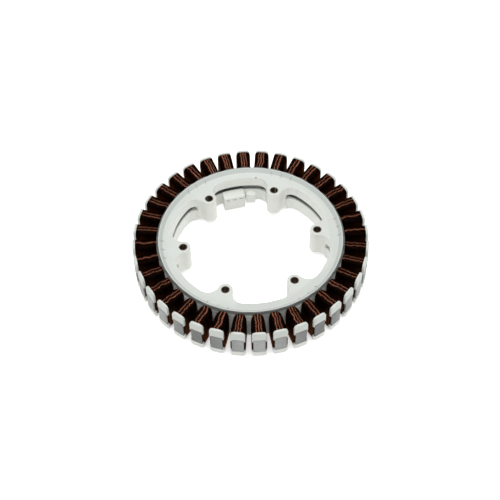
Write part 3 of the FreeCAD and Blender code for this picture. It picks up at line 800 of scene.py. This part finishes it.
bm = bmesh.new()
bmesh.ops.create_cone(
    bm, cap_ends=True, segments=20, radius1=DOT_RADIUS, radius2=DOT_RADIUS * 0.85, depth=DOT_THICKNESS
)
dot_place = Vector(
    (DOT_PLACE * math.cos(DOT_ANGLE), DOT_PLACE * math.sin(DOT_ANGLE), FACE_HEIGHT + DOT_LIFT)
)
bmesh.ops.translate(bm, vec=dot_place, verts=bm.verts)
make_piece(bm, "paint_dot", dot_paint)
print("paint dot at", tuple(round(value, 4) for value in dot_place))

# %% [markdown]
# ## CAD parts that keep their shape
# The steel core, its pins, the sleeves and the terminals are cut and rolled
# from metal, with crisp edges, so they are right as they are. They only need a
# finish. A copy would double their faces, so the finish goes into their own
# material slots.

# %% Finish the CAD parts that stay
kept_finishes = {
    "stator_core": laminated_steel,
    "core_pins": pin_steel,
    "mount_sleeves": sleeve_steel,
    "phase_terminals": terminal_brass,
}
for node, finish in kept_finishes.items():
    for material_slot in frame["nodes"][node].material_slots:
        material_slot.material = finish
print("finished in place:", ", ".join(kept_finishes))

# %% [markdown]
# ## Floor and light
# The stator lies on a white sweep under one large lamp, and an even white sky
# fills the rest. Three small lamps behind it put sparks on the wires, and two
# low ones at the sides light the tooth tips there. The floor takes the shadows,
# and what the camera and reflections see of it gets a little white on top, so
# that the sweep reads as white without more light on the object.

# %% The floor
FLOOR_RADIUS, FLOOR_GAP = 6.0, 0.3 * MM
FLOOR_GLOW = 0.52

floor_bm = bmesh.new()
bmesh.ops.create_circle(floor_bm, cap_ends=True, segments=96, radius=FLOOR_RADIUS)
bmesh.ops.translate(floor_bm, vec=(0, 0, -FLOOR_GAP), verts=floor_bm.verts)
floor_mesh = bpy.data.meshes.new("white_sweep")
floor_bm.to_mesh(floor_mesh)
floor_bm.free()
floor = bpy.data.objects.new("white_sweep", floor_mesh)
bpy.context.scene.collection.objects.link(floor)

sweep_white = bpy.data.materials.new("sweep_white")
sweep_white.use_nodes = True
tree = sweep_white.node_tree
paper = tree.nodes["Principled BSDF"]
paper.inputs["Base Color"].default_value = (0.93, 0.93, 0.92, 1)
paper.inputs["Roughness"].default_value = 0.9
paper.inputs["Specular IOR Level"].default_value = 0.1
paper.inputs["Emission Color"].default_value = (1, 1, 1, 1)
rays = add_node(tree, "ShaderNodeLightPath").outputs
seen = calculate(tree, "MAXIMUM", rays["Is Camera Ray"], rays["Is Glossy Ray"])
seen_through = calculate(tree, "MAXIMUM", seen, rays["Is Transmission Ray"])
glow = calculate(tree, "MULTIPLY", seen_through, FLOOR_GLOW)
tree.links.new(glow, paper.inputs["Emission Strength"])
floor_mesh.materials.append(sweep_white)
print("floor", floor.name)

# %% The sky
SKY_LIGHT, SKY_SEEN = 0.46, 1.0

world = bpy.data.worlds.new("studio_sky")
world.use_nodes = True
tree = world.node_tree
sky = tree.nodes["Background"]
sky.inputs["Color"].default_value = (1, 1, 1, 1)
camera_ray = add_node(tree, "ShaderNodeLightPath").outputs["Is Camera Ray"]
strength = map_range(tree, camera_ray, To_Min=SKY_LIGHT, To_Max=SKY_SEEN)
tree.links.new(strength, sky.inputs["Strength"])
bpy.context.scene.world = world
print("sky", world.name)


# %% The lamps
def soft_lamp(name, azimuth, elevation, distance, side, share):
    """A square lamp that looks at the stator; share is how white a white card that faces it would be."""
    turn, tilt = math.radians(azimuth), math.radians(elevation)
    away = Vector((math.cos(turn) * math.cos(tilt), math.sin(turn) * math.cos(tilt), math.sin(tilt)))
    light = bpy.data.lights.new(name, "AREA")
    light.shape = "SQUARE"
    light.size = side
    light.energy = share * (math.pi * distance) ** 2
    lamp = bpy.data.objects.new(name, light)
    lamp.location = away * distance
    lamp.rotation_euler = away.to_track_quat("Z", "Y").to_euler()
    bpy.context.scene.collection.objects.link(lamp)
    return lamp


soft_lamp("lamp_above", 270, 86, 1.6, 1.0, 0.51)
soft_lamp("lamp_behind_left", 124, 50, 1.7, 0.13, 0.035)
soft_lamp("lamp_behind", 96, 52, 1.7, 0.13, 0.035)
soft_lamp("lamp_behind_right", 66, 50, 1.7, 0.13, 0.035)
soft_lamp("lamp_left", 195, 15, 1.5, 0.5, 0.07)
soft_lamp("lamp_right", 345, 15, 1.5, 0.5, 0.12)
print("lamps ready")

# %% [markdown]
# ## Camera
# The camera stands a little over a metre away and looks down on the ring, a
# touch from the left and a touch off level. With a lens of about 79 mm the ring
# is half as wide as the frame. The camera could be turned by three angles, but
# a roll is easier to read as axes, so they are written out as vectors and put
# into its matrix.

# %% The camera
AZIMUTH, ELEVATION, ROLL = math.radians(-8.12), math.radians(51.29), math.radians(1.15)
DISTANCE = 1.23
LENS = 78.978
SHIFT_X, SHIFT_Y = -0.00108, -0.02364

back = Vector(
    (math.sin(AZIMUTH) * math.cos(ELEVATION), -math.cos(AZIMUTH) * math.cos(ELEVATION), math.sin(ELEVATION))
)
level_right = Vector((math.cos(AZIMUTH), math.sin(AZIMUTH), 0))
level_up = back.cross(level_right)
right = level_right * math.cos(ROLL) - level_up * math.sin(ROLL)
up = level_right * math.sin(ROLL) + level_up * math.cos(ROLL)
target = Vector((0, 0, FACE_HEIGHT))
camera_data = bpy.data.cameras.new("camera")
camera_data.sensor_width = 36
camera_data.lens = LENS
camera_data.shift_x = SHIFT_X
camera_data.shift_y = SHIFT_Y
camera = bpy.data.objects.new("camera", camera_data)
axes = Matrix((right, up, back)).transposed().to_4x4()
camera.matrix_world = Matrix.Translation(target + back * DISTANCE) @ axes
bpy.context.scene.collection.objects.link(camera)
bpy.context.scene.camera = camera
bpy.context.scene.view_settings.view_transform = "Standard"
print("lens", round(camera_data.lens, 1), "mm")
